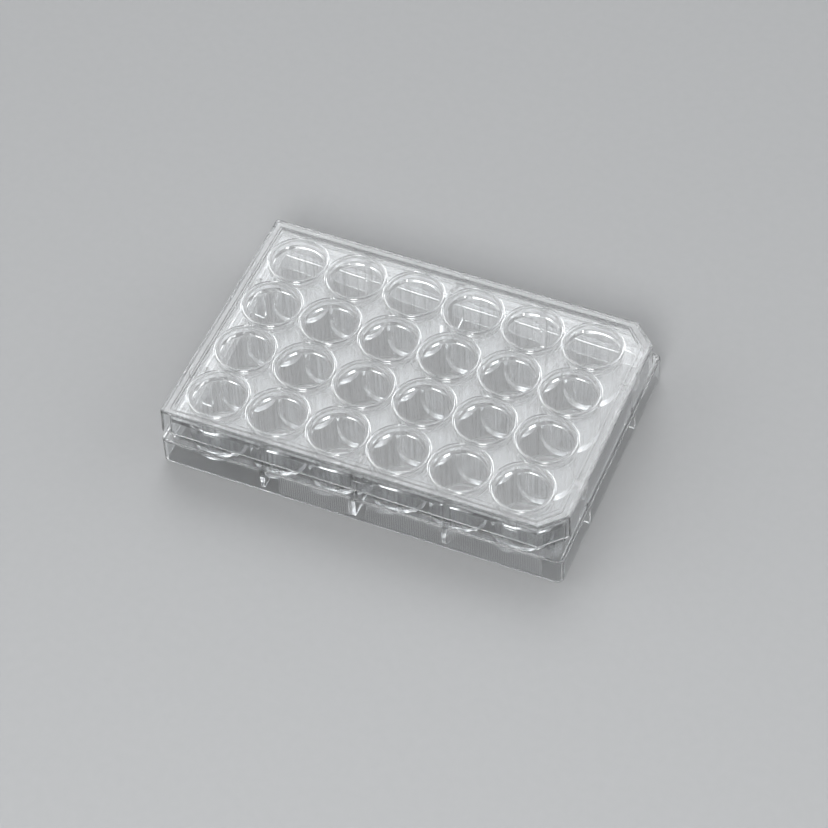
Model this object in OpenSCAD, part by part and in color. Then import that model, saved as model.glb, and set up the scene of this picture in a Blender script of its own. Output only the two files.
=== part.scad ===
// Twenty-four well culture plate with its lid on: two thin clear mouldings.
// Frame: footprint centre at x = 0, y = 0, underside at z = 0, mitred end at +X.

/* [Footprint] */
// Length of the footprint along X
foot_l = 127.76; // [124:0.02:156]
// Width of the footprint along Y
foot_w = 85.48; // [84:0.02:104]
// Outer radius of the four footprint corners
foot_corner_r = 2.2; // [1.5:0.1:3.2]
// Height of the flange, from the underside to the top of its ledge
flange_h = 9.4; // [6.5:0.1:10.5]
// Thickness of the flange wall
flange_t = 1.25; // [0.9:0.05:1.6]
// Thickness of the ledge on top of the flange
ledge_t = 1.2; // [0.8:0.05:1.6]
// Small radius on the outer top edge of the flange
flange_edge_r = 0.4; // [0.2:0.05:0.7]

/* [Body wall] */
// Distance the body wall stands in from the footprint at the ledge
body_inset = 2.35; // [2:0.05:2.8]
// Further distance the body wall leans in by the deck
body_lean = 0.25; // [0.1:0.05:0.6]
// Thickness of the body wall
body_t = 0.9; // [0.8:0.05:1.4]
// Depth of the deck below the well rims
deck_drop = 1.97; // [1.6:0.01:6]
// Thickness of the deck
deck_t = 2; // [0.8:0.05:2.2]
// Radius of the shoulder between the body wall and the deck, outside and in
shoulder_r = 0.2; // [0.1:0.05:0.6]
// Radius of the two body corners at the square end
body_corner_r = 1.6; // [1:0.1:2.5]

/* [Wells] */
// Number of wells along X
well_cols = 6; // [4:1:6]
// Number of wells along Y
well_rows = 4; // [2:1:4]
// Distance between neighbouring well centres
pitch = 19.3; // [19.1:0.05:19.4]
// Distance from the mitred end of the footprint to the nearest column
col_offset = 17.52; // [16.5:0.02:17.6]
// Height of the plate without its lid
plate_h = 20.27; // [18:0.01:25]
// Bore of a well at its rim
well_top_d = 16.26; // [13:0.02:16.6]
// How much narrower a well is at its floor
well_taper = 0.64; // [0.2:0.02:1.2]
// Thickness of a well wall at its rim
well_t = 0.7; // [0.5:0.05:0.75]
// Thickness of a well wall below the deck
cup_t = 1.1; // [0.7:0.05:1.2]
// Thickness of a well floor
floor_t = 1.27; // [0.8:0.01:1.6]
// Clearance under a well floor
floor_clear = 1.1; // [0.8:0.05:4]

/* [Stiffening webs] */
// Thickness at the foot of the webs at the ends and at two of the columns
web_t = 1.3; // [0.8:0.1:2]
// Thickness of the straight web in the middle of each long side
mid_web_t = 2; // [1.6:0.1:3.2]
// How much thicker the other webs are at the deck than at their foot
web_taper = 1.2; // [0.2:0.1:1.5]
// Height at which the webs end above the underside
web_foot_z = 1.3; // [0.4:0.1:4]
// Radius on the lower corner of a web
web_tip_r = 0.6; // [0.3:0.1:1]
// How far the end webs reach in from the footprint
end_web_reach = 8; // [6:0.5:9]

/* [Finger grip] */
// Distance between neighbouring grip ridges
grip_pitch = 0.7; // [0.6:0.05:1]
// Depth of the grip panel in the front face
grip_depth = 0.22; // [0.1:0.02:0.35]
// Position along X where the grip panel starts
grip_from = -25.5; // [-40:0.5:-20]
// Position along X where the grip panel ends
grip_to = 57.5; // [40:0.5:58]
// Width of the plain strip in the middle of the grip panel
grip_break = 4.8; // [3:0.1:8]
// Height of the lower edge of the grip panel
grip_foot_z = 1.2; // [0.8:0.1:3]

/* [Lid] */
// Height of the lid from its lower edge to the top of its rim
lid_h = 8.95; // [7.5:0.01:10.4]
// Distance the skirt stands in from the footprint at its lower edge
lid_inset = 0.4; // [0.3:0.05:0.6]
// Further distance the skirt leans in by the lid top
lid_lean = 0.3; // [0.1:0.05:0.4]
// Thickness of the skirt
skirt_t = 1.1; // [0.8:0.05:1.3]
// Setback of the two mitred lid corners
mitre_leg = 7.3; // [5.5:0.1:8]
// Radius of the two lid corners at the square end
lid_corner_r = 1.5; // [0.8:0.1:2.5]
// Radius on the outer top edge of the lid
lid_edge_r = 0.85; // [0.2:0.05:1]
// Thickness of the flat lid panel
panel_t = 1.15; // [0.9:0.05:1.4]
// Rise of the raised rim above the panel
rim_rise = 0.68; // [0.3:0.01:1.2]
// Width of the raised rim on three sides, from the footprint
rim_w = 4.1; // [3.9:0.05:4.15]
// Width of the raised rim at the mitred end, from the footprint
rim_end_w = 4.8; // [4.2:0.05:6]
// Thickness of the step between the panel and the raised rim
rim_t = 1; // [0.7:0.05:1.2]
// Thickness of the top of the raised rim
rim_top_t = 1.1; // [0.8:0.05:1.3]

/* [Seating, rings and pads] */
// Clearance between the well rims and the lid panel
seat_gap = 0.02; // [0.02:0.01:0.1]
// Radial clearance between a ring and the well rim inside it
ring_gap = 0.12; // [0.08:0.02:0.2]
// Radial thickness of a ring
ring_t = 0.65; // [0.4:0.01:0.7]
// Depth of a ring below the lid panel
ring_depth = 0.8; // [0.4:0.05:2]
// Width of a centring pad
pad_w = 4; // [2:0.5:6]
// Clearance between a centring pad and the plate shoulder
pad_gap = 0.3; // [0.2:0.05:0.5]
// How far a pad overlaps the body wall below the deck
pad_overlap = 1.5; // [1:0.1:3]
// Distance of the outer pads on the long sides from the middle
pad_long_x = 47.4; // [30:0.2:50]
// Distance of the pads on the short sides from the middle
pad_short_y = 22.1; // [15:0.1:30]

/* [Hidden] */
$fn = 48;
eps = 0.01;
reach = 200;
half_l = foot_l / 2;
half_w = foot_w / 2;
first_col_x = half_l - col_offset - (well_cols - 1) * pitch;
first_row_y = -(well_rows - 1) * pitch / 2;
cols_x = [for (i = [0 : well_cols - 1]) first_col_x + i * pitch];
rows_y = [for (j = [0 : well_rows - 1]) first_row_y + j * pitch];
deck_z = plate_h - deck_drop;
well_floor_z = floor_clear + floor_t;
well_depth = plate_h - well_floor_z;
well_floor_r = (well_top_d - well_taper) / 2;
well_slope = well_taper / 2 / well_depth;
well_rim_r = well_top_d / 2 + well_t;
cup_join_z = deck_z - deck_t / 2;
cup_foot_r = well_floor_r + cup_t;
cup_join_r = cup_foot_r + well_slope * (cup_join_z - floor_clear);
panel_z = plate_h + seat_gap;
panel_top_z = panel_z + panel_t;
lid_top_z = panel_top_z + rim_rise;
lid_foot_z = lid_top_z - lid_h;
mitre_shrink = 2 - sqrt(2);
body_leg = mitre_leg - mitre_shrink * (body_inset - lid_inset);
ring_r = well_rim_r + ring_gap;
mid_web_x = (cols_x[floor((well_cols - 1) / 2)] + cols_x[floor(well_cols / 2)]) / 2;

// Trapezium that narrows by lean on both sides, with rounded top corners
module leaningSection(half, z_low, z_high, lean, edge_r) {
    angle = atan(lean / (z_high - z_low));
    arc_z = z_high - edge_r;
    arc_x = half - lean * (arc_z - z_low) / (z_high - z_low) - edge_r / cos(angle);
    touch_x = arc_x + edge_r * cos(angle);
    touch_z = arc_z + edge_r * sin(angle);
    polygon([[-half, z_low], [half, z_low], [touch_x, touch_z], [arc_x, z_high],
             [-arc_x, z_high], [-touch_x, touch_z]]);
    for (side = [-1, 1])
        translate([side * arc_x, arc_z])
            circle(r = edge_r);
}

// Rectangle with four rounded corners
module cornerOutline(hl, hw, r) {
    square([2 * (hl - r), 2 * hw], center = true);
    square([2 * hl, 2 * (hw - r)], center = true);
    for (sx = [-1, 1], sy = [-1, 1])
        translate([sx * (hl - r), sy * (hw - r)])
            circle(r = r);
}

// Block with leaning sides, a rounded top edge and rounded upright corners
module leaningBlock(hl, hw, r, z_low, z_high, lean, edge_r) {
    intersection() {
        rotate([90, 0, 90])
            linear_extrude(height = 2 * hl, center = true)
                leaningSection(hw, z_low, z_high, lean, edge_r);
        rotate([90, 0, 0])
            linear_extrude(height = 2 * hw, center = true)
                leaningSection(hl, z_low, z_high, lean, edge_r);
        translate([0, 0, z_low])
            linear_extrude(height = z_high - z_low)
                cornerOutline(hl, hw, r);
    }
}

// The same block with its two +X corners cut off at 45 degrees
module mitredBlock(hl, hw, r, leg, z_low, z_high, lean, edge_r) {
    cut = (hl + hw - leg) / sqrt(2);
    intersection() {
        leaningBlock(hl, hw, r, z_low, z_high, lean, edge_r);
        mitreSlab(45, cut, z_low, z_high, lean, edge_r);
        mitreSlab(-45, cut, z_low, z_high, lean, edge_r);
    }
}

// Wide slab whose leaning +X face is turned to one mitred corner
module mitreSlab(turn, cut, z_low, z_high, lean, edge_r) {
    rotate([0, 0, turn])
        translate([cut - reach, 0, 0])
            rotate([90, 0, 0])
                linear_extrude(height = 2 * reach, center = true)
                    leaningSection(reach, z_low, z_high, lean, edge_r);
}

// Upright prism with two rounded corners at -X and two mitred ones at +X
module mitredPrism(hl, hw, r, leg, z_low, z_high) {
    cut = (hl + hw - leg) / sqrt(2);
    translate([0, 0, z_low])
        linear_extrude(height = z_high - z_low)
            intersection() {
                cornerOutline(hl, hw, r);
                rotate(45)
                    translate([cut - reach, 0])
                        square(2 * reach, center = true);
                rotate(-45)
                    translate([cut - reach, 0])
                        square(2 * reach, center = true);
            }
}

// Places the children at every well
module atWells() {
    for (x = cols_x, y = rows_y)
        translate([x, y, 0])
            children();
}

// Outside of one well: the thin rim, and the cup from the deck to its underside
module wellBody() {
    translate([0, 0, cup_join_z])
        cylinder(h = plate_h - cup_join_z,
                 r1 = well_rim_r - well_slope * (plate_h - cup_join_z), r2 = well_rim_r);
    translate([0, 0, floor_clear])
        cylinder(h = cup_join_z - floor_clear, r1 = cup_foot_r, r2 = cup_join_r);
}

// Inside of one well cup, open above the rim
module wellBore() {
    over = 1;
    translate([0, 0, well_floor_z])
        cylinder(h = well_depth + over, r1 = well_floor_r,
                 r2 = well_top_d / 2 + over * well_slope);
}

// Outline of a web: upright edge on the wall side, rounded lower corner inside
module webOutline(length) {
    translate([0, web_foot_z + web_tip_r])
        square([length, deck_z - web_foot_z - web_tip_r]);
    translate([0, web_foot_z])
        square([length - web_tip_r, deck_z - web_foot_z]);
    translate([length - web_tip_r, web_foot_z + web_tip_r])
        circle(r = web_tip_r);
}

// Web standing across a side wall, thicker towards the deck by its taper
module webPlate(thick, taper, length) {
    top = thick + taper;
    intersection() {
        rotate([90, 0, 90])
            linear_extrude(height = top + 1, center = true)
                webOutline(length);
        rotate([90, 0, 0])
            linear_extrude(height = 3 * length, center = true)
                polygon([[-thick / 2, web_foot_z - eps], [thick / 2, web_foot_z - eps],
                         [top / 2, deck_z], [-top / 2, deck_z]]);
    }
}

// All webs: two thin ones and a thick one on each long side, two at each end
module webs() {
    web_cols = [cols_x[1], cols_x[well_cols - 2]];
    long_reach = half_w + first_row_y - well_floor_r;
    mid_reach = half_w + first_row_y - 1;
    for (side = [0, 180])
        rotate([0, 0, side]) {
            turn = side == 0 ? 1 : -1;
            for (x = web_cols)
                translate([turn * x, -half_w, 0])
                    webPlate(web_t, web_taper, long_reach);
            translate([turn * mid_web_x, -half_w, 0])
                webPlate(mid_web_t, 0, mid_reach);
        }
    for (side = [-90, 90], y = [-1, 1] * pitch)
        rotate([0, 0, side])
            translate([y, -half_l, 0])
                webPlate(web_t, web_taper, end_web_reach);
}

// Solid outside of the plate below the deck
module plateMass() {
    leaningBlock(half_l, half_w, foot_corner_r, 0, flange_h, eps, flange_edge_r);
    mitredBlock(half_l - body_inset, half_w - body_inset, body_corner_r, body_leg,
                flange_h - ledge_t, deck_z, body_lean, shoulder_r);
}

// Hollow under the ledge and the deck, with walls that lean like the outside
module plateHollow() {
    body_foot_z = flange_h - ledge_t;
    low_z = body_foot_z - 1;
    high_z = deck_z - deck_t;
    slope = body_lean / (deck_z - body_foot_z);
    hollow_inset = body_inset + body_t - slope;
    translate([0, 0, -1])
        linear_extrude(height = body_foot_z + 1)
            cornerOutline(half_l - flange_t, half_w - flange_t, foot_corner_r - flange_t);
    mitredBlock(half_l - hollow_inset, half_w - hollow_inset, body_corner_r / 2,
                mitre_leg - mitre_shrink * (hollow_inset - lid_inset), low_z, high_z,
                slope * (high_z - low_z), shoulder_r);
}

// Row of upright ridges that stands in the grip panel
module gripPanel(x_from, x_to) {
    count = floor((x_to - x_from) / grip_pitch);
    step = (x_to - x_from) / count;
    translate([0, -half_w, grip_foot_z])
        linear_extrude(height = flange_h)
            polygon(concat([[x_to, -1], [x_from, -1]],
                           [for (i = [0 : count - 1]) each
                               [[x_from + i * step, grip_depth],
                                [x_from + (i + 0.4) * step, grip_depth],
                                [x_from + (i + 0.7) * step, eps]]],
                           [[x_to, grip_depth]]));
}

module plate() {
    color([0.86, 0.88, 0.89, 0.4])
        difference() {
            union() {
                difference() {
                    plateMass();
                    difference() {
                        plateHollow();
                        webs();
                    }
                }
                atWells()
                    wellBody();
            }
            atWells()
                wellBore();
            gripPanel(grip_from, -grip_break / 2);
            gripPanel(grip_break / 2, grip_to);
        }
}

// Centring pads inside the skirt, three on each long side and two at each end
module lidPads() {
    shoulder_in = body_inset + body_lean * (deck_z - pad_overlap - flange_h)
                  / (deck_z - flange_h) - pad_gap;
    pad_foot_z = deck_z - pad_overlap;
    pad_h = panel_z - pad_foot_z + eps;
    pad_in = shoulder_in - lid_inset - skirt_t / 2;
    for (x = [-pad_long_x, 0, pad_long_x], side = [-1, 1])
        translate([x - pad_w / 2, side * (half_w - shoulder_in + pad_in / 2) - pad_in / 2,
                   pad_foot_z])
            cube([pad_w, pad_in, pad_h]);
    for (y = [-pad_short_y, pad_short_y], side = [-1, 1])
        translate([side * (half_l - shoulder_in + pad_in / 2) - pad_in / 2, y - pad_w / 2,
                   pad_foot_z])
            cube([pad_in, pad_w, pad_h]);
}

// Rings that hang from the panel around the well rims
module lidRings() {
    translate([0, 0, panel_z - ring_depth])
        difference() {
            atWells()
                cylinder(h = ring_depth + eps, r = ring_r + ring_t);
            atWells()
                translate([0, 0, -1])
                    cylinder(h = ring_depth + 2, r = ring_r);
        }
}

module lid() {
    skirt_in = lid_inset + lid_lean + skirt_t;
    rim_in = rim_w - rim_t;
    rim_shift = (rim_end_w - rim_w) / 2;
    color([0.9, 0.92, 0.93, 0.4])
        union() {
            difference() {
                mitredBlock(half_l - lid_inset, half_w - lid_inset, lid_corner_r, mitre_leg,
                            lid_foot_z, lid_top_z, lid_lean, lid_edge_r);
                // room under the panel
                mitredPrism(half_l - skirt_in, half_w - skirt_in, lid_corner_r / 2,
                            mitre_leg - mitre_shrink * (skirt_in - lid_inset),
                            lid_foot_z - 1, panel_z);
                // channel under the raised rim
                difference() {
                    mitredPrism(half_l - skirt_in, half_w - skirt_in, lid_corner_r / 2,
                                mitre_leg - mitre_shrink * (skirt_in - lid_inset),
                                panel_z - eps, lid_top_z - rim_top_t);
                    translate([-rim_shift, 0, 0])
                        mitredPrism(half_l - rim_in - rim_shift, half_w - rim_in,
                                    lid_corner_r / 2,
                                    mitre_leg - mitre_shrink * (rim_in - lid_inset),
                                    panel_z - 1, lid_top_z);
                }
                // recess inside the raised rim
                translate([-rim_shift, 0, 0])
                    mitredPrism(half_l - rim_w - rim_shift, half_w - rim_w,
                                lid_corner_r / 2,
                                mitre_leg - mitre_shrink * (rim_w - lid_inset),
                                panel_top_z, lid_top_z + 1);
            }
            lidRings();
            lidPads();
        }
}

plate();
lid();
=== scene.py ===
import math

import bmesh
import bpy
from mathutils import Matrix, Vector


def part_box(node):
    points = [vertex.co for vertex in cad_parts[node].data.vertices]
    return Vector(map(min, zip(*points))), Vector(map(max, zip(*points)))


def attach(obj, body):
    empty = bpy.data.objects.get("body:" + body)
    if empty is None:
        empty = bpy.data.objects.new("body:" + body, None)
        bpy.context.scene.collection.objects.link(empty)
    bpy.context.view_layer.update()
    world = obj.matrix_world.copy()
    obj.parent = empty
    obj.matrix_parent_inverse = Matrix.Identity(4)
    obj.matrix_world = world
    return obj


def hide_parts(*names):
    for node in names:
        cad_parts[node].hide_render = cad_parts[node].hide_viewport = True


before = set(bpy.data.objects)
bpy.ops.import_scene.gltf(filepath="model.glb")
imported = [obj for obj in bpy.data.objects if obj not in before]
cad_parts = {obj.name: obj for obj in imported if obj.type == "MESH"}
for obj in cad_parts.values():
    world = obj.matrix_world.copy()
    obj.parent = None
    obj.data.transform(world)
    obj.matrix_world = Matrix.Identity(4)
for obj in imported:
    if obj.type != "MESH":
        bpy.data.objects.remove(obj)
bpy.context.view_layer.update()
mm = 0.001
mergeDistance = 1e-4  # in millimetres
softAngle = math.radians(28)  # edges that turn less than this are shaded smooth

# the moulded sizes are in millimetres, and the outer ones come from the frame
plateLow, plateHigh = [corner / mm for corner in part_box("plate")]
lidLow, lidHigh = [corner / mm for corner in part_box("lid")]
footprint = {
    "halfLength": plateHigh.x,
    "halfWidth": plateHigh.y,
    "cornerSteps": 12,
    "mitreRadius": 0.45,
}
wells = {
    "columns": 6,
    "rows": 4,
    "pitch": 19.3,
    "endOffset": 17.52,
    "boreAtRim": 8.13,
    "boreAtFloor": 7.81,
    "rimWall": 0.7,
    "cupWall": 1.1,
    "floorTop": 2.37,
    "floorUnder": 1.1,
    "lipRadius": 0.15,
    "floorFillet": 1.8,
    "heelRadius": 0.5,
    "deckFillet": 0.12,
    "turnSteps": 64,
    "arcSteps": 4,
}
firstWellX = footprint["halfLength"] - wells["endOffset"] - (wells["columns"] - 1) * wells["pitch"]
firstWellY = -(wells["rows"] - 1) * wells["pitch"] / 2
wellColumns = [firstWellX + column * wells["pitch"] for column in range(wells["columns"])]
wellCentres = [(x, firstWellY + row * wells["pitch"]) for x in wellColumns for row in range(wells["rows"])]


# points along an arc, with its angles in degrees
def arcPoints(centreX, centreZ, radius, start, end, steps):
    angles = [math.radians(start + (end - start) * step / steps) for step in range(steps + 1)]
    return [(centreX + radius * math.cos(angle), centreZ + radius * math.sin(angle)) for angle in angles]


# one corner of an outline, round or mitred, from the +X side round to the +Y side
def cornerPoints(halfX, halfY, radius, leg, steps):
    if leg is None:
        return arcPoints(halfX - radius, halfY - radius, radius, 0, 90, steps - 1)
    small = footprint["mitreRadius"]
    reach = leg + small * math.tan(math.radians(22.5))
    half = steps // 2 - 1
    return (arcPoints(halfX - small, halfY - reach, small, 0, 45, half)
            + arcPoints(halfX - reach, halfY - small, small, 45, 90, half))


# a closed outline parallel to the footprint, with its +X corners mitred where a leg is given
def outline(inset, height, radius, leg=None, endExtra=0):
    steps = footprint["cornerSteps"]
    halfX = footprint["halfLength"] - inset
    halfY = footprint["halfWidth"] - inset
    mitred = cornerPoints(halfX - endExtra, halfY, radius, leg, steps)
    square = cornerPoints(halfX, halfY, radius, None, steps)
    points = mitred + [(-x, y) for x, y in reversed(square)]
    points += [(-x, -y) for x, y in square] + [(x, -y) for x, y in reversed(mitred)]
    return [(x, y, height) for x, y in points]


# extrudes the first outline through all the others
def loftOutlines(bm, outlines):
    ring = [bm.verts.new(point) for point in outlines[0]]
    edges = [bm.edges.new((ring[index - 1], ring[index])) for index in range(len(ring))]
    for points in outlines[1:]:
        made = bmesh.ops.extrude_edge_only(bm, edges=edges)["geom"]
        fresh = {item for item in made if isinstance(item, bmesh.types.BMVert)}
        ring = [next(edge.other_vert(vert) for edge in vert.link_edges if edge.other_vert(vert) in fresh)
                for vert in ring]
        for vert, point in zip(ring, points):
            vert.co = point
        edges = [bm.edges.get((ring[index - 1], ring[index])) for index in range(len(ring))]


# turns profiles of (radius, height) points about an upright axis, and sets a copy at every well
def spinAtWells(bm, profiles):
    turned = bmesh.new()
    for profile in profiles:
        verts = [turned.verts.new((radius, 0, height)) for radius, height in profile]
        edges = [turned.edges.new(pair) for pair in zip(verts, verts[1:])]
        bmesh.ops.spin(turned, geom=verts + edges, cent=(0, 0, 0), axis=(0, 0, 1), dvec=(0, 0, 0),
                       angle=2 * math.pi, steps=wells["turnSteps"], use_merge=True, use_duplicate=False)
    bmesh.ops.remove_doubles(turned, verts=turned.verts, dist=mergeDistance)
    cup = bpy.data.meshes.new("cup")
    turned.to_mesh(cup)
    turned.free()
    for x, y in wellCentres:
        there = Matrix.Translation((x, y, 0))
        cup.transform(there)
        bm.from_mesh(cup)
        cup.transform(there.inverted())
    bpy.data.meshes.remove(cup)


# fills what is open at one height, round every hole in it
def fillLevel(bm, height):
    edges = [edge for edge in bm.edges
             if edge.is_boundary and all(abs(vert.co.z - height) < mergeDistance for vert in edge.verts)]
    bmesh.ops.triangle_fill(bm, use_beauty=True, use_dissolve=False, edges=edges, normal=(0, 0, 1))


# a closed flat outline made a solid by one extrusion
def extrudeOutline(bm, points, along):
    face = bm.faces.new([bm.verts.new(point) for point in points])
    made = bmesh.ops.extrude_face_region(bm, geom=[face])["geom"]
    raised = [item for item in made if isinstance(item, bmesh.types.BMVert)]
    bmesh.ops.translate(bm, vec=along, verts=raised)


def objectFrom(bm, name):
    bmesh.ops.remove_doubles(bm, verts=bm.verts, dist=mergeDistance)
    bmesh.ops.recalc_face_normals(bm, faces=bm.faces)
    mesh = bpy.data.meshes.new(name)
    bm.to_mesh(mesh)
    bm.free()
    piece = bpy.data.objects.new(name, mesh)
    bpy.context.scene.collection.objects.link(piece)
    return piece


# joins or cuts with another closed mesh, and leaves the result in the piece
def combine(piece, tool, operation):
    cut = piece.modifiers.new("combine", "BOOLEAN")
    cut.object = tool
    cut.operation = operation
    cut.solver = "MANIFOLD"
    evaluated = piece.evaluated_get(bpy.context.evaluated_depsgraph_get())
    result = bpy.data.meshes.new_from_object(evaluated)
    piece.modifiers.clear()
    spent = [piece.data, tool.data]
    result.name = piece.name
    piece.data = result
    bpy.data.objects.remove(tool)
    for mesh in spent:
        bpy.data.meshes.remove(mesh)


# to metres, with smooth faces between the real edges
def finishPiece(piece, node, finish):
    piece.data.transform(Matrix.Scale(mm, 4))
    bm = bmesh.new()
    bm.from_mesh(piece.data)
    bmesh.ops.remove_doubles(bm, verts=bm.verts, dist=2e-7)
    bmesh.ops.dissolve_degenerate(bm, edges=bm.edges, dist=1e-7)
    for face in bm.faces:
        face.smooth = True
    for edge in bm.edges:
        edge.smooth = len(edge.link_faces) == 2 and edge.calc_face_angle(0) < softAngle
    print(piece.name, len(bm.faces), "faces, open edges:", sum(not edge.is_manifold for edge in bm.edges))
    bm.to_mesh(piece.data)
    bm.free()
    weighted = piece.modifiers.new("weightedNormals", "WEIGHTED_NORMAL")
    weighted.keep_sharp = True
    piece.data.materials.clear()
    piece.data.materials.append(finish)
    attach(piece, "root")
    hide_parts(node)


# wraps one socket of a material, so that values and sockets add up as plain sums
class Socket:
    def __init__(self, builder, link):
        self.builder = builder
        self.link = link

    def math(self, operation, first, second):
        return self.builder.node("ShaderNodeMath", {"operation": operation}, {0: first, 1: second})

    def __add__(self, other):
        return self.math("ADD", self, other)

    def __mul__(self, other):
        return self.math("MULTIPLY", self, other)

    def __rsub__(self, other):
        return self.math("SUBTRACT", other, self)

    __radd__ = __add__
    __rmul__ = __mul__


# a node tree under construction, with the node that gives its result
class NodeBuilder:
    def __init__(self, tree, surface):
        self.tree = tree
        self.surface = tree.nodes[surface]

    def fill(self, node, sockets):
        for key, value in sockets.items():
            if isinstance(value, Socket):
                self.tree.links.new(value.link, node.inputs[key])
            else:
                node.inputs[key].default_value = value

    def node(self, kind, settings=None, sockets=None, output=0):
        node = self.tree.nodes.new(kind)
        for key, value in (settings or {}).items():
            setattr(node, key, value)
        self.fill(node, sockets or {})
        return Socket(self, node.outputs[output])

    # 0 below one value and 1 above another, with a soft step between
    def step(self, value, low, high):
        return self.node("ShaderNodeMapRange", {"interpolation_type": "SMOOTHSTEP"},
                         {"Value": value, "From Min": low, "From Max": high})

    # 1 between two heights in millimetres, with soft ends
    def band(self, value, low, high, soft):
        rising = self.step(value, (low - soft) * mm, (low + soft) * mm)
        return rising * (1 - self.step(value, (high - soft) * mm, (high + soft) * mm))

    def blend(self, share, first, second):
        return self.node("ShaderNodeMix", {"data_type": "RGBA"},
                         {"Factor": share, 6: first, 7: second}, output=2)


# a material under construction, on the piece's own coordinates
class FinishBuilder(NodeBuilder):
    def __init__(self, name):
        self.material = bpy.data.materials.new(name)
        self.material.use_nodes = True
        super().__init__(self.material.node_tree, "Principled BSDF")
        self.place = self.node("ShaderNodeTexCoord", output="Object")

    # noise with grains of a given size in millimetres
    def noise(self, grain, stretch=(1, 1, 1), detail=2, shift=0):
        scale = [part / (grain * mm) for part in stretch]
        scaled = self.node("ShaderNodeMapping", None, {
            "Vector": self.place, "Location": (shift, shift / 2, 0), "Scale": scale})
        return self.node("ShaderNodeTexNoise", None, {"Vector": scaled, "Scale": 1, "Detail": detail})

    def axes(self):
        split = self.node("ShaderNodeSeparateXYZ", None, {"Vector": self.place})
        return [Socket(self, output) for output in split.link.node.outputs]


# clear polystyrene with layers over it, each a mask and what it adds where it is 1;
# scatter is the share of the light that a surface spreads
def clearPlastic(name, spec, layers):
    builder = FinishBuilder(name)
    flow = builder.noise(spec["flowGrain"], spec["flowStretch"], detail=3, shift=spec["shift"])
    swell = builder.noise(spec["swellGrain"], detail=1, shift=spec["shift"] + 7)
    tint = builder.blend(builder.step(flow, 0.35, 0.65), spec["tint"], spec["flowTint"])
    roughness = spec["roughness"] + spec["flowRoughness"] * flow
    scatter = spec["scatter"]
    for mask, layer in layers:
        share = mask(builder)
        tint = builder.blend(share, tint, layer["tint"])
        roughness = roughness + layer["roughness"] * share
        scatter = scatter + layer["scatter"] * share
    builder.fill(builder.surface, {
        "Base Color": tint,
        "Roughness": roughness,
        "Normal": builder.node("ShaderNodeBump", None, {
            "Height": swell, "Strength": 1, "Distance": spec["swellHeight"] * mm}),
        "IOR": 1.59,
        "Transmission Weight": 1,
    })
    front = builder.node("ShaderNodeBsdfDiffuse", None, {"Color": spec["scatterColor"]})
    through = builder.node("ShaderNodeBsdfTranslucent", None, {"Color": spec["scatterColor"]})
    spread = builder.node("ShaderNodeMixShader", None, {0: 0.5, 1: front, 2: through})
    clear = Socket(builder, builder.surface.outputs[0])
    both = builder.node("ShaderNodeMixShader", None, {0: scatter, 1: clear, 2: spread})
    builder.tree.links.new(both.link, builder.tree.nodes["Material Output"].inputs["Surface"])
    return builder.material


plateSpec = {
    "height": plateHigh.z,
    "cornerRadius": 2.2,
    "flangeHeight": 9.4,
    "flangeWall": 1.25,
    "tipRadius": 0.45,
    "ledgeWall": 1.2,
    "ledgeEdge": 0.4,
    "bodyInset": 2.35,
    "bodyLean": 0.25,
    "bodyWall": 0.9,
    "bodyCorner": 1.6,
    "mitreLeg": 6.158,
    "deckTop": plateHigh.z - 1.97,
    "deckWall": 2,
    "shoulderRadius": 0.15,
    "smallFillet": 0.12,
    "webFootWall": 1.3,
    "webTaper": 1.2,
    "midWebWall": 2,
    "webFoot": 1.3,
    "webTip": 0.6,
    "webEdge": 0.08,
    "endWebReach": 5.5,
    "gripPitch": 0.7,
    "gripDepth": 0.14,
    "gripFrom": -25.5,
    "gripTo": 57.5,
    "gripBreak": 4.8,
    "gripFoot": 1.2,
    "gripSwing": 0.46,
    "gripWaveSteps": 6,
}
plateFinishSpec = {
    "tint": (0.985, 0.99, 0.992, 1),
    "flowTint": (0.972, 0.98, 0.984, 1),
    "flowGrain": 26,
    "flowStretch": (0.4, 1, 1),
    "swellGrain": 8,
    "swellHeight": 0.01,
    "roughness": 0.012,
    "flowRoughness": 0.015,
    "shift": 1,
    "scatterColor": (0.9, 0.91, 0.92, 1),
    "scatter": 0.02,
    "lineGrain": 0.9,
    "lineStretch": (1, 1, 0.02),
    "lineRange": (0.45, 0.7),
    "lineInset": 4.2,
    "lineFloorGap": 0.5,
    "lineDeckGap": 0.3,
    # painted shade: this layer's dark tint darkens the plastic in streaks down the wells
    "paintedShadeStreaks": {"tint": (0.4, 0.41, 0.42, 1), "roughness": 0.01, "scatter": 0},
    "ridges": {"tint": (0.975, 0.98, 0.985, 1), "roughness": 0.16, "scatter": 0.12},
}


# the mitre's leg on an outline that lies a step further in
def mitreLegAt(leg, step):
    return leg - (2 - math.sqrt(2)) * step


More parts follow.
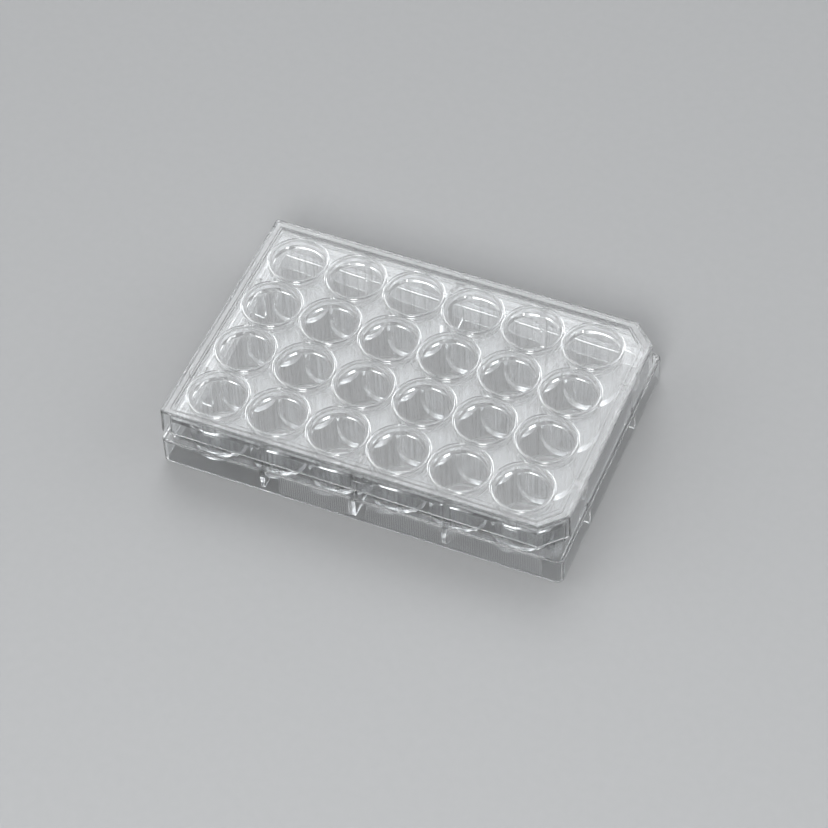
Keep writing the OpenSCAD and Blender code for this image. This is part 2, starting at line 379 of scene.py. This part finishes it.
def plateShell(bm, spec):
    tip, edge = spec["tipRadius"], spec["ledgeEdge"]
    fillet, shoulder = spec["smallFillet"], spec["shoulderRadius"]
    wall, high, inset = spec["flangeWall"], spec["flangeHeight"], spec["bodyInset"]
    ledgeUnder = high - spec["ledgeWall"]
    deck, ceiling = spec["deckTop"], spec["deckTop"] - spec["deckWall"]
    lean = spec["bodyLean"] / (deck - high)
    tilt = math.degrees(math.atan(lean))
    inner = inset + spec["bodyWall"]

    # (inset, height) down the outside, from the deck to the tip of the flange
    shoulderIn = inset + lean * (deck - shoulder - high) + shoulder / math.cos(math.radians(tilt))
    body = arcPoints(shoulderIn, deck - shoulder, shoulder, 90, 180 - tilt, 4)
    body += arcPoints(inset - fillet + lean * fillet, high + fillet, fillet, -tilt, -90, 3)
    flange = arcPoints(edge, high - edge, edge, 90, 180, 5)
    flange += arcPoints(tip, tip, tip, 180, 270, 5)
    # and up the inside, from the tip to the underside of the deck
    flange += arcPoints(wall - tip, tip, tip, -90, 0, 5)
    flange += arcPoints(wall + fillet, ledgeUnder - fillet, fillet, 180, 90, 3)
    back = arcPoints(inner - fillet, ledgeUnder + fillet, fillet, -90, 0, 3)
    ceilingIn = inner + lean * (ceiling - fillet - high) + fillet
    back += arcPoints(ceilingIn, ceiling - fillet, fillet, 180 - tilt, 90, 3)

    def bodyOutline(inwards, height):
        step = inwards - inset
        radius = max(spec["bodyCorner"] - step, 0.4)
        return outline(inwards, height, radius, mitreLegAt(spec["mitreLeg"], step))

    outlines = [bodyOutline(*point) for point in body]
    outlines += [outline(inwards, height, spec["cornerRadius"] - min(inwards, wall))
                 for inwards, height in flange]
    outlines += [bodyOutline(*point) for point in back]
    loftOutlines(bm, outlines)


# the skin of a well above the deck with its bore, and the skin of its cup below the deck
def cupProfiles(spec):
    rimBore, floorBore = wells["boreAtRim"], wells["boreAtFloor"]
    rimWall, cupWall = wells["rimWall"], wells["cupWall"]
    top, floor, under = spec["height"], wells["floorTop"], wells["floorUnder"]
    lip, fillet = wells["lipRadius"], wells["floorFillet"]
    heel, join = wells["heelRadius"], wells["deckFillet"]
    steps = wells["arcSteps"]
    slope = (rimBore - floorBore) / (top - floor)
    deck, ceiling = spec["deckTop"], spec["deckTop"] - spec["deckWall"]

    def boreAt(height):
        return floorBore + slope * (height - floor)

    upper = arcPoints(boreAt(deck + join) + rimWall + join, deck + join, join, 270, 180, steps)
    upper += arcPoints(rimBore + rimWall - lip, top - lip, lip, 0, 90, steps)
    upper += arcPoints(rimBore + lip, top - lip, lip, 90, 180, steps)
    upper += arcPoints(boreAt(floor + fillet) - fillet, floor + fillet, fillet, 0, -90, steps)
    upper += [(0, floor)]
    lower = arcPoints(boreAt(ceiling - join) + cupWall + join, ceiling - join, join, 90, 180, steps)
    lower += arcPoints(boreAt(under) + cupWall - heel, under + heel, heel, 0, -90, steps)
    lower += [(0, under)]
    return upper, lower


# a web from the side wall inwards, rounded at its lower corner and thicker towards the deck
def addWeb(bm, spec, footWall, taper, length, place, turn):
    tip, foot = spec["webTip"], spec["webFoot"]
    start, step = spec["flangeWall"] / 2, spec["bodyInset"] + spec["bodyWall"] - 0.1
    shelf, top = spec["flangeHeight"] - spec["ledgeWall"] / 2, spec["deckTop"] - spec["deckWall"] / 2
    points = [(start, shelf), (start, foot)] + arcPoints(length - tip, foot + tip, tip, -90, 0, 5)
    points += [(length, top), (step, top), (step, shelf)]
    web = bmesh.new()
    extrudeOutline(web, [(-0.5, y, z) for y, z in points], (1, 0, 0))
    for vert in web.verts:
        vert.co.x *= footWall + taper * (vert.co.z - foot) / (spec["deckTop"] - foot)
    bmesh.ops.recalc_face_normals(web, faces=web.faces)
    rims = [edge for edge in web.edges
            if edge.calc_face_angle(0) > 1 and edge.verts[0].co.x * edge.verts[1].co.x > 0]
    bmesh.ops.bevel(web, geom=rims, offset=spec["webEdge"], offset_type="OFFSET", segments=2, profile=0.5,
                    affect="EDGES", material=-1)
    web.transform(Matrix.Rotation(math.radians(turn), 4, "Z") @ Matrix.Translation(place))
    mesh = bpy.data.meshes.new("web")
    web.to_mesh(mesh)
    web.free()
    bm.from_mesh(mesh)
    bpy.data.meshes.remove(mesh)


def buildWebs(spec):
    bm = bmesh.new()
    halfLength, halfWidth = footprint["halfLength"], footprint["halfWidth"]
    middle = (wellColumns[2] + wellColumns[3]) / 2
    longReach = halfWidth + firstWellY - wells["boreAtFloor"] - wells["cupWall"] / 2
    midReach = halfWidth + firstWellY - 1
    for turn, sign in ((0, 1), (180, -1)):
        for x in (wellColumns[1], wellColumns[4]):
            place = (sign * x, -halfWidth, 0)
            addWeb(bm, spec, spec["webFootWall"], spec["webTaper"], longReach, place, turn)
        addWeb(bm, spec, spec["midWebWall"], 0, midReach, (sign * middle, -halfWidth, 0), turn)
    for turn in (90, -90):
        for y in (-wells["pitch"], wells["pitch"]):
            place = (y, -halfLength, 0)
            addWeb(bm, spec, spec["webFootWall"], spec["webTaper"], spec["endWebReach"], place, turn)
    return objectFrom(bm, "webs")


# a row of upright hollows that leaves the grip ridges standing in the front face
def buildGripCutter(spec):
    bm = bmesh.new()
    face, swing, waveSteps = -footprint["halfWidth"], spec["gripSwing"], spec["gripWaveSteps"]
    halfBreak = spec["gripBreak"] / 2
    for start, end in ((spec["gripFrom"], -halfBreak), (halfBreak, spec["gripTo"])):
        count = math.floor((end - start) / spec["gripPitch"])
        stride = (end - start) / count / waveSteps
        turns = [index * math.tau / waveSteps for index in range(count * waveSteps + 1)]
        wave = [(start + index * stride, face + spec["gripDepth"] * (1 - swing + swing * math.cos(turn)))
                for index, turn in enumerate(turns)]
        points = [(start, face - 1), (end, face - 1)] + wave[::-1]
        extrudeOutline(bm, [(x, y, spec["gripFoot"]) for x, y in points], (0, 0, spec["flangeHeight"]))
    return objectFrom(bm, "grips")


# painted shade: dark streaks down the wells, painted into the plastic's tint to stand in for the streaks of
# reflection and shade among the cups
def paintStreakShade(builder):
    finish = plateFinishSpec
    x, y, z = builder.axes()
    endX, endY = footprint["halfLength"] - finish["lineInset"], footprint["halfWidth"] - finish["lineInset"]
    inside = builder.band(x, -endX, endX, 0.2) * builder.band(y, -endY, endY, 0.2)
    low = wells["floorTop"] + finish["lineFloorGap"]
    high = plateSpec["deckTop"] - plateSpec["deckWall"] - finish["lineDeckGap"]
    paintedShadeStreaks = builder.noise(finish["lineGrain"], finish["lineStretch"], shift=17)
    return builder.step(paintedShadeStreaks, *finish["lineRange"]) * inside * builder.band(z, low, high, 0.4)


def gripRidges(builder):
    x, y, z = builder.axes()
    face = footprint["halfWidth"]
    along = builder.band(x, plateSpec["gripFrom"], plateSpec["gripTo"], 0.3)
    upright = builder.band(z, plateSpec["gripFoot"], 20, 0.2)
    return along * upright * builder.band(y, -face - 1, -face + 0.3, 0.1)


def buildPlate(spec):
    bm = bmesh.new()
    plateShell(bm, spec)
    spinAtWells(bm, cupProfiles(spec))
    bmesh.ops.remove_doubles(bm, verts=bm.verts, dist=mergeDistance)
    fillLevel(bm, spec["deckTop"])
    fillLevel(bm, spec["deckTop"] - spec["deckWall"])
    piece = objectFrom(bm, "plateMoulding")
    combine(piece, buildWebs(spec), "UNION")
    combine(piece, buildGripCutter(spec), "DIFFERENCE")
    # the first layer paints shade streaks down the wells, the second makes the grip ridges hazy
    layers = [(paintStreakShade, plateFinishSpec["paintedShadeStreaks"]), (gripRidges, plateFinishSpec["ridges"])]
    finishPiece(piece, "plate", clearPlastic("plateClear", plateFinishSpec, layers))


lidSpec = {
    "foot": lidLow.z,
    "top": lidHigh.z,
    "inset": footprint["halfLength"] - lidHigh.x,
    "lean": 0.3,
    "wall": 1.1,
    "tipRadius": 0.4,
    "corner": 1.5,
    "mitreLeg": 7.3,
    "edgeRadius": 0.85,
    "panelUnder": plateHigh.z + 0.02,
    "panelWall": 1.15,
    "rimWidth": 4.1,
    "rimEndExtra": 0.7,
    "stepWall": 1,
    "rimTopWall": 1.1,
    "smallEdge": 0.12,
    "ringInner": 8.95,
    "ringWall": 0.65,
    "ringDepth": 0.8,
    "ringTip": 0.2,
    "padWidth": 4,
    "padFoot": 16.8,
    "padReach": 2.2,
    "padLongX": 47.4,
    "padShortY": 22.1,
    "padEdge": 0.3,
}
lidFinishSpec = {
    "tint": (0.988, 0.992, 0.994, 1),
    "flowTint": (0.976, 0.983, 0.987, 1),
    "flowGrain": 34,
    "flowStretch": (1, 0.5, 1),
    "swellGrain": 9,
    "swellHeight": 0.01,
    "roughness": 0.01,
    "flowRoughness": 0.012,
    "shift": 12,
    "scatterColor": (0.92, 0.93, 0.94, 1),
    "scatter": 0.01,
    "scuffGrain": 0.5,
    "scuffRange": (0.7, 0.8),
    "scuffs": {"tint": (0.97, 0.975, 0.98, 1), "roughness": 0.08, "scatter": 0.06},
}


def lidShell(bm, spec):
    inset, wall, tip = spec["inset"], spec["wall"], spec["tipRadius"]
    edge, small = spec["edgeRadius"], spec["smallEdge"]
    foot, top, under = spec["foot"], spec["top"], spec["panelUnder"]
    panel, channel = under + spec["panelWall"], top - spec["rimTopWall"]
    lean = spec["lean"] / (top - foot)
    tilt = math.degrees(math.atan(lean))
    step, inner = spec["rimWidth"], spec["rimWidth"] - spec["stepWall"]

    # (inset, height) from the panel over the rim and down the outside of the skirt
    rim = arcPoints(step + small, panel + small, small, -90, -180, 3)
    rim += arcPoints(step - small, top - small, small, 0, 90, 3)
    outerIn = inset + lean * (top - edge - foot) + edge / math.cos(math.radians(tilt))
    skirt = arcPoints(outerIn, top - edge, edge, 90, 180 - tilt, 6)
    skirt += arcPoints(inset + tip, foot + tip, tip, 180 - tilt, 270, 4)
    # and up its inside, through the channel under the rim and back to the panel
    skirt += arcPoints(inset + wall - tip, foot + tip, tip, -90, -tilt, 4)
    insideIn = inset + wall + lean * (channel - small - foot)
    skirt += arcPoints(insideIn + small, channel - small, small, 180 - tilt, 90, 3)
    back = arcPoints(inner - small, channel - small, small, 90, 0, 3)
    back += arcPoints(inner + small, under + small, small, 180, 270, 3)

    def lidOutline(inwards, height, extra):
        further = inwards - inset
        leg = mitreLegAt(spec["mitreLeg"], further)
        return outline(inwards, height, max(spec["corner"] - further, 0.35), leg, extra)

    outlines = [lidOutline(*point, spec["rimEndExtra"]) for point in rim]
    outlines += [lidOutline(*point, 0) for point in skirt]
    outlines += [lidOutline(*point, spec["rimEndExtra"]) for point in back]
    loftOutlines(bm, outlines)
    fillLevel(bm, panel)
    fillLevel(bm, under)


# the rings that hang from the panel, one round each well's rim
def buildRings(spec):
    bm = bmesh.new()
    inner, outer, tip = spec["ringInner"], spec["ringInner"] + spec["ringWall"], spec["ringTip"]
    low, high = spec["panelUnder"] - spec["ringDepth"], spec["panelUnder"] + 0.4
    profile = [(inner, high)] + arcPoints(inner + tip, low + tip, tip, 180, 270, 3)
    profile += arcPoints(outer - tip, low + tip, tip, -90, 0, 3) + [(outer, high), (inner, high)]
    spinAtWells(bm, [profile])
    return objectFrom(bm, "rings")


def buildPads(spec):
    bm = bmesh.new()
    start, end = spec["inset"] + spec["wall"] / 2 + 0.1, spec["padReach"]
    size = (spec["padWidth"], end - start, spec["panelUnder"] + 0.4 - spec["padFoot"])
    height = spec["padFoot"] + size[2] / 2
    places = [(x, turn) for x in (-spec["padLongX"], 0, spec["padLongX"]) for turn in (0, 180)]
    places += [(y, turn) for y in (-spec["padShortY"], spec["padShortY"]) for turn in (90, -90)]
    for along, turn in places:
        reach = footprint["halfWidth"] if turn in (0, 180) else footprint["halfLength"]
        move = Matrix.Translation((along, -reach + (start + end) / 2, height))
        matrix = Matrix.Rotation(math.radians(turn), 4, "Z") @ move @ Matrix.Diagonal((*size, 1))
        made = bmesh.ops.create_cube(bm, size=1, matrix=matrix)["verts"]
        edges = {edge for vert in made for edge in vert.link_edges}
        bmesh.ops.bevel(bm, geom=list(edges), offset=spec["padEdge"], offset_type="OFFSET", segments=3,
                        profile=0.5, affect="EDGES", material=-1)
    return objectFrom(bm, "pads")


# faint scuffs from stacking, in two directions
def lidScuffs(builder):
    grain, span = lidFinishSpec["scuffGrain"], lidFinishSpec["scuffRange"]
    along = builder.noise(grain, (0.02, 1, 1), detail=1, shift=4)
    across = builder.noise(grain, (1, 0.03, 1), detail=1, shift=9)
    return builder.step(along, *span) + builder.step(across, *span)


def buildLid(spec):
    bm = bmesh.new()
    lidShell(bm, spec)
    piece = objectFrom(bm, "lidMoulding")
    combine(piece, buildRings(spec), "UNION")
    combine(piece, buildPads(spec), "UNION")
    layers = [(lidScuffs, lidFinishSpec["scuffs"])]
    finishPiece(piece, "lid", clearPlastic("lidClear", lidFinishSpec, layers))


buildPlate(plateSpec)
print("plate built")
buildLid(lidSpec)
print("lid built")


cameraSpec = {
    "place": (0.23134, -0.51014, 0.66807),
    "azimuth": -24.399,
    "elevation": 49.966,
    "roll": -2.351,
    "lens": 125.344,
    "sensor": 36,
}


def buildCamera(spec):
    data = bpy.data.cameras.new("viewCamera")
    data.lens = spec["lens"]
    data.sensor_width = spec["sensor"]
    azimuth, elevation = math.radians(spec["azimuth"]), math.radians(spec["elevation"])
    forward = Vector((math.sin(azimuth) * math.cos(elevation), math.cos(azimuth) * math.cos(elevation),
                      -math.sin(elevation)))
    turn = forward.to_track_quat("-Z", "Y").to_matrix().to_4x4()
    roll = Matrix.Rotation(math.radians(spec["roll"]), 4, "Z")
    camera = bpy.data.objects.new("viewCamera", data)
    camera.matrix_world = Matrix.Translation(spec["place"]) @ turn @ roll
    bpy.context.scene.collection.objects.link(camera)
    bpy.context.scene.camera = camera


studioSpec = {
    "floorRadius": 4,
    "floorSides": 96,
    "floorDrop": 0.05,
    "floorColor": (0.44, 0.444, 0.448, 1),
    "floorSpeck": (0.42, 0.424, 0.428, 1),
    "floorRoughness": 0.55,
    "tentColor": (0.97, 0.985, 1, 1),
    "dimLight": 0.38,
    # direction, angles where the light is full and where it has faded, and radiance of each soft glow
    "glows": {
        "back": ((-0.45, 1, 1.3), (10, 26), 2.5),
        "left": ((-1.1, -0.5, 0.45), (12, 40), 1.1),
        "right": ((1.1, 0.5, 0.45), (12, 40), 1.1),
    },
    # place, size and radiance of the key panel at the front
    "keyPanel": ((0.2, -0.9, 0.8), (0.4, 0.4), 15),
    # light passes many walls on its way through the plate
    "bounces": {"max_bounces": 32, "transmission_bounces": 28, "glossy_bounces": 12},
}


def buildFloor(spec):
    bm = bmesh.new()
    under = Matrix.Translation((0, 0, -spec["floorDrop"] * mm))
    bmesh.ops.create_circle(bm, cap_ends=True, radius=spec["floorRadius"], segments=spec["floorSides"],
                            matrix=under)
    floor = objectFrom(bm, "floor")
    builder = FinishBuilder("benchTop")
    speck = builder.noise(3, detail=3)
    builder.fill(builder.surface, {
        "Base Color": builder.blend(speck, spec["floorColor"], spec["floorSpeck"]),
        "Roughness": spec["floorRoughness"] + 0.1 * speck,
    })
    floor.data.materials.append(builder.material)


# the studio is a dim white tent with soft glows in it
def buildTent(spec):
    world = bpy.data.worlds.new("tent")
    world.use_nodes = True
    builder = NodeBuilder(world.node_tree, "Background")
    ray = builder.node("ShaderNodeTexCoord", output="Generated")
    light = spec["dimLight"]
    for direction, (full, faded), radiance in spec["glows"].values():
        facing = builder.node("ShaderNodeVectorMath", {"operation": "DOT_PRODUCT"},
                              {0: ray, 1: Vector(direction).normalized()}, output="Value")
        share = builder.step(facing, math.cos(math.radians(faded)), math.cos(math.radians(full)))
        light = light + radiance * share
    builder.fill(builder.surface, {"Color": spec["tentColor"], "Strength": light})
    bpy.context.scene.world = world


def buildPanel(name, place, size, radiance):
    data = bpy.data.lights.new(name, "AREA")
    data.shape = "RECTANGLE"
    data.size, data.size_y = size
    data.energy = radiance * math.pi * size[0] * size[1]
    lamp = bpy.data.objects.new(name, data)
    turn = (-Vector(place)).to_track_quat("-Z", "Y").to_matrix().to_4x4()
    lamp.matrix_world = Matrix.Translation(place) @ turn
    bpy.context.scene.collection.objects.link(lamp)


def buildStudio(spec):
    buildFloor(spec)
    buildTent(spec)
    buildPanel("keyPanel", *spec["keyPanel"])
    bpy.context.scene.view_settings.view_transform = "Standard"
    for setting, count in spec["bounces"].items():
        setattr(bpy.context.scene.cycles, setting, count)


buildCamera(cameraSpec)
buildStudio(studioSpec)
print("studio built")
